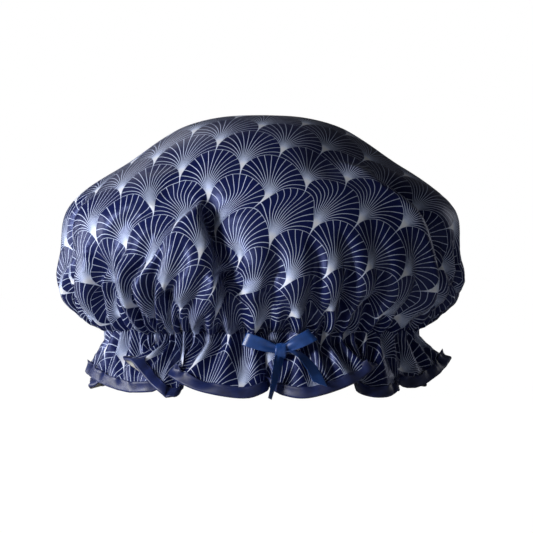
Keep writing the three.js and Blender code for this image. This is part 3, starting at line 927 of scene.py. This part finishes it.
def printed_satin():
    """Woven polyester satin, navy, screen printed: the lit folds shine violet-blue, the rest is near
    black, and the silver-white fans end in chalky darts."""
    m, shader = new_material("printed_polyester_satin")
    place = add(m, "UVMap", uv_map="flat_cut")
    ink, far_off = fan_print(m, place)
    grain = add(m, "TexNoise", place, None, per_metre(0.588), 3.0)
    patches = add(m, "TexNoise", place, None, per_metre(38.5), 2.0)
    glow = add(m, "MapRange", far_off, *GLOW_REACH, 1.0, 0.0)
    glow = add(m, "Math", glow, GLOW_POWER, operation="POWER")
    glow = add(m, "Math", glow, GLOW_MOST, operation="MULTIPLY")
    dart_edge = add(m, "Math", grain, DART_RAGGED, DART_LENGTH, operation="MULTIPLY_ADD")
    past_dart = add(m, "Math", far_off, dart_edge, operation="SUBTRACT")
    dart = add(m, "MapRange", past_dart, 0.0, DART_FADE, 1.0, 0.0)
    navy = add(m, "MixRGB", patches, "#0b123b", "#121b50")
    ground = add(m, "MixRGB", glow, navy, "#5b79b6")
    lined = add(m, "MixRGB", ink, ground, "#cdd9f6")
    chalk = add(m, "MixRGB", grain, "#ccd1de", "#f8f9ff")
    printed = add(m, "MixRGB", dart, lined, chalk)
    # Long warp floats, 1.1 by 0.2 mm, and wrinkles from the sewing, about 18 mm apart.
    stretched = add(m, "Mapping", place, None, None, (per_metre(1.11), per_metre(0.192), 1.0))
    floats = add(m, "TexNoise", stretched, None, 1.0, 1.0)
    wrinkles = add(m, "TexNoise", place, None, per_metre(18.2), 4.0, 0.6)
    height = add(m, "Math", wrinkles, 9.0, floats, operation="MULTIPLY_ADD")
    give(m, shader, {
        "Base Color": printed,
        "Roughness": add(m, "MapRange", ink, 0.0, 1.0, 0.34, 0.5),
        "Specular IOR Level": 0.5,
        "Specular Tint": "#a4b2f0",
        "Anisotropic": 0.35,
        "Sheen Weight": 0.02,
        "Sheen Roughness": 0.3,
        "Normal": add(m, "Bump", 0.5, 0.1 * MM, None, height),
    })
    return m


def film():
    """Milky waterproof film: pale, semi-glossy and finely crinkled, with some light passing through."""
    m, shader = new_material("milky_peva_film")
    place = add(m, "UVMap", uv_map="flat_cut")
    crinkles = add(m, "TexVoronoi", place, None, per_metre(6.25), feature="DISTANCE_TO_EDGE")
    cloud = add(m, "TexNoise", place, None, per_metre(14.3), 4.0)
    height = add(m, "Math", crinkles, cloud, operation="ADD")
    give(m, shader, {
        "Base Color": add(m, "MixRGB", cloud, "#cfcdc4", "#ecebe4"),
        "Roughness": add(m, "MapRange", cloud, 0.2, 0.8, 0.24, 0.42),
        "Transmission Weight": 0.18,
        "Specular IOR Level": 0.5,
        "Normal": add(m, "Bump", 0.35, 0.25 * MM, None, height),
    })
    return m


def satin_tape(name, low, high, rough, stitch_line=None):
    """Narrow satin in one colour: fine ribs across it catch the light in a lengthwise gleam, and a
    row of stitches presses a dotted groove."""
    m, shader = new_material(name)
    place = add(m, "UVMap", uv_map="tape_map")
    # The ribs are 0.28 mm wide and 2 mm long.
    stretched = add(m, "Mapping", place, None, None, (per_metre(0.278), per_metre(2), 1.0))
    weave = add(m, "TexNoise", stretched, None, 1.0, 2.0)
    worn = add(m, "TexNoise", place, None, per_metre(8.33), 3.0)
    height = add(m, "Math", worn, 4.0, weave, operation="MULTIPLY_ADD")
    if stitch_line is not None:
        along, across, _ = add(m, "SeparateXYZ", place).node.outputs
        off_line = add(m, "Math", across, stitch_line, operation="SUBTRACT")
        off_line = add(m, "Math", off_line, operation="ABSOLUTE")
        groove = add(m, "MapRange", off_line, 0.2 * MM, 0.9 * MM, 1.0, 0.0)
        beat = add(m, "Math", along, TURN / STITCH_PITCH, operation="MULTIPLY")
        beat = add(m, "Math", beat, operation="COSINE")
        depth = add(m, "Math", beat, 1.5, 3.0, operation="MULTIPLY_ADD")
        pressed = add(m, "Math", groove, depth, operation="MULTIPLY")
        height = add(m, "Math", height, pressed, operation="SUBTRACT")
    tone = add(m, "MapRange", worn, 0.3, 0.7, 0.0, 1.0)
    give(m, shader, {
        "Base Color": add(m, "MixRGB", tone, low, high),
        "Roughness": add(m, "MapRange", weave, 0.2, 0.8, rough - 0.05, rough + 0.07),
        "Specular IOR Level": 0.6,
        "Anisotropic": 0.5,
        "Sheen Weight": 0.05,
        "Normal": add(m, "Bump", 0.5, 0.08 * MM, None, height),
    })
    return m


def thread():
    """Twisted navy sewing thread: matt, with a painted highlight that lightens the crests of its plies."""
    m, shader = new_material("twisted_sewing_thread")
    place = add(m, "TexCoord", output="Object")
    # At this scale the diagonal bands lie 0.4 mm apart.
    twist_and_painted_highlight = add(m, "TexWave", place, 900.0, 1.0, bands_direction="DIAGONAL")
    give(m, shader, {
        "Base Color": add(m, "MixRGB", twist_and_painted_highlight, "#161e47", "#32406f"),
        # The plies' lighter colour along the bands is a painted highlight.
        "Roughness": 0.6,
        "Sheen Weight": 0.1,
        "Normal": add(m, "Bump", 0.4, 0.05 * MM, None, twist_and_painted_highlight),
    })
    return m


def braided_elastic():
    """White braided elastic: cotton-like ribs that cross in a herringbone, with painted shade that greys
    the grooves between them.
    """
    m, shader = new_material("braided_white_elastic")
    x, y, z = add(m, "SeparateXYZ", add(m, "TexCoord", output="Object")).node.outputs
    round_it = add(m, "Math", y, x, operation="ARCTAN2")
    round_it = add(m, "Math", round_it, RING_HALF_WIDTH, operation="MULTIPLY")
    rib = 1.1 * MM
    braids = []
    for lean in (1.0, -1.0):
        tilted = add(m, "Math", z, lean, round_it, operation="MULTIPLY_ADD")
        wave = add(m, "Math", tilted, TURN / rib, operation="MULTIPLY")
        braids.append(add(m, "Math", wave, operation="SINE"))
    height = add(m, "Math", *braids, operation="MAXIMUM")
    # Low places of the braid get the grey colour: painted shade in the grooves between the ribs.
    tone = add(m, "MapRange", height, -0.6, 0.8, 0.0, 1.0)
    give(m, shader, {
        "Base Color": add(m, "MixRGB", tone, "#b9b8b2", "#efeeea"),
        "Roughness": 0.8,
        "Sheen Weight": 0.15,
        "Normal": add(m, "Bump", 0.6, 0.2 * MM, None, height),
    })
    return m


def lights():
    """Soft light, mostly from the left, in a dark studio that the camera sees as white."""
    world = bpy.data.worlds.new("white_studio")
    bpy.context.scene.world = world
    world.use_nodes = True
    background = world.node_tree.nodes["Background"]
    seen = add(world, "LightPath", output="Is Camera Ray")
    strength = add(world, "MapRange", seen, 0.0, 1.0, STUDIO_LIGHT, 1.0)
    give(world, background, {"Color": "#ffffff", "Strength": strength})
    for name, place, power, size in LAMPS:
        lamp = bpy.data.lights.new(name, "AREA")
        lamp.energy = power
        lamp.size = size
        obj = new_object(name, lamp)
        obj.location = place
        aim = LAMP_AIM - Vector(place)
        obj.rotation_euler = aim.to_track_quat("-Z", "Y").to_euler()


def floor():
    """White paper that the camera sees as nearly pure white, with a faint shadow."""
    bm = bmesh.new()
    bmesh.ops.create_circle(bm, cap_ends=True, segments=64, radius=FLOOR_RADIUS)
    mesh = bpy.data.meshes.new("floor")
    bm.to_mesh(mesh)
    bm.free()
    obj = new_object("floor", mesh)
    m, shader = new_material("white_paper_floor")
    fibres = add(m, "TexNoise", add(m, "TexCoord", output="Object"), None, per_metre(1.25), 3.0)
    give(m, shader, {
        "Base Color": add(m, "MixRGB", fibres, "#e9e9e9", "#f4f4f4"),
        "Roughness": 0.9,
    })
    seen = add(m, "LightPath", output="Is Camera Ray")
    glow = add(m, "Math", seen, FLOOR_GLOW, operation="MULTIPLY")
    white = add(m, "Emission", "#ffffff", FLOOR_WHITE)
    bright = add(m, "MixShader", glow, shader.outputs["BSDF"], white)
    give(m, m.node_tree.nodes["Material Output"], {"Surface": bright})
    mesh.materials.append(m)


def camera():
    """The photograph's view: level with the cap, a little above it."""
    lens = 137
    frame_width = 394 * MM
    target = Vector((3.7 * MM, 0, 92.6 * MM))
    elevation = math.radians(0.5)
    data = bpy.data.cameras.new("camera")
    data.lens = lens
    distance = frame_width * lens / data.sensor_width
    obj = new_object("camera", data)
    away = Vector((0, -math.cos(elevation), math.sin(elevation)))
    obj.location = target + away * distance
    obj.rotation_euler = (math.pi / 2 - elevation, 0, 0)
    bpy.context.scene.camera = obj


def dress(piece, material, nodes=()):
    """A finished piece: its material, its body, and the nodes it stands for, which are hidden."""
    piece.data.materials.clear()
    piece.data.materials.append(material)
    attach(piece, "root")
    if nodes:
        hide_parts(*nodes)


def main():
    """Sets up the view and makes the pieces from the cloth outwards."""
    camera()
    floor()
    lights()
    bpy.context.scene.view_settings.view_transform = "Standard"

    outer_cut = Cut("outer_cloth")
    cloth, places = outer_cloth(outer_cut, cap_rings())
    film_cut = Cut("film_lining")
    inner = lining(film_cut, cloth.data, places)
    for sheet in (cloth, inner):
        finer = sheet.modifiers.new("finer", "SUBSURF")
        finer.levels = finer.render_levels = 1
    dress(cloth, printed_satin(), ("crown_cloth", "flounce_cloth"))
    dress(inner, film(), ("crown_lining", "flounce_lining"))

    tape = binding(outer_cut, places)
    navy = satin_tape("navy_satin_tape", "#121c48", "#1c2b64", 0.44, BINDING_STITCH_LINE)
    dress(tape, navy, ("edge_binding",))

    blue = satin_tape("blue_satin_ribbon", "#143a78", "#1f4f9b", 0.32)
    pieces, knot = bow(places)
    pieces["ribbon_knot"] = knot_wrap(knot)
    for name, piece in pieces.items():
        dress(piece, blue, (name.replace("ribbon", "bow"),))

    threads = sewing(outer_cut, places)
    dress(threads, thread())

    elastic = bpy.data.objects["elastic_band"]
    for slot in elastic.material_slots:
        slot.material = braided_elastic()


main()
